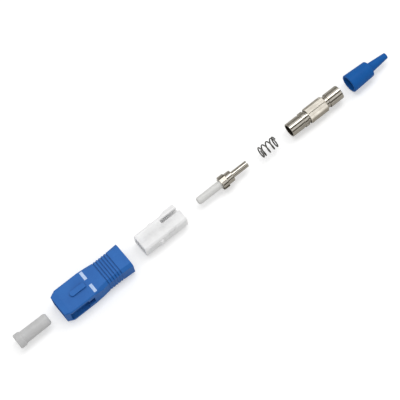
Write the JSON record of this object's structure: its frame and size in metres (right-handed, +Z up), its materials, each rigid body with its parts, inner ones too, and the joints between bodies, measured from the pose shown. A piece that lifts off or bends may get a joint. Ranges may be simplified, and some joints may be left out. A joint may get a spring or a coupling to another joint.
{
  "type": "fibre optic connector",
  "caption": "Push-pull simplex fibre optic connector laid out in its pieces on one axis: dust cap, square grip, inner frame, ceramic ferrule, spring, crimp body and boot.",
  "frame": {"origin": "centre of the grip's front face, on the ferrule axis", "axes": "+X from the mating front to the cable end along the ferrule axis, +Z up on the key side"},
  "size_m": [0.1449, 0.009, 0.008],
  "materials": {
    "dust_cap": "translucent natural polyethylene",
    "grip": "fine moulded blue thermoplastic",
    "frame": "moulded white thermoplastic",
    "ceramic": "ground white zirconia",
    "nickel": "nickel plated turned brass",
    "spring_steel": "drawn stainless spring wire",
    "boot": "soft moulded blue elastomer"
  },
  "bodies": {
    "grip": {"grip_housing": "grip"},
    "cap": {"dust_cap": "dust_cap"},
    "frame": {"plug_frame": "frame"},
    "ferrule": {"ceramic_ferrule": "ceramic", "ferrule_holder": "nickel"},
    "spring": {"coil_spring": "spring_steel"},
    "crimp": {"crimp_body": "nickel"},
    "boot": {"strain_relief_boot": "boot"}
  },
  "joints": [
    {"name": "cap_slide", "type": "slide", "parent": "grip", "child": "cap", "axis": [1, 0, 0], "range_m": [0, 0.0097]},
    {"name": "frame_slide", "type": "slide", "parent": "grip", "child": "frame", "axis": [-1, 0, 0], "range_m": [0, 0.0314]},
    {"name": "ferrule_slide", "type": "slide", "parent": "frame", "child": "ferrule", "axis": [-1, 0, 0], "range_m": [0, 0.0238]},
    {"name": "spring_slide", "type": "slide", "parent": "ferrule", "child": "spring", "axis": [-1, 0, 0], "range_m": [0, 0.01125]},
    {"name": "crimp_slide", "type": "slide", "parent": "spring", "child": "crimp", "axis": [-1, 0, 0], "range_m": [0, 0.01275], "deforming": ["coil_spring"]},
    {"name": "boot_slide", "type": "slide", "parent": "crimp", "child": "boot", "axis": [-1, 0, 0], "range_m": [0, 0.0089]}
  ]
}
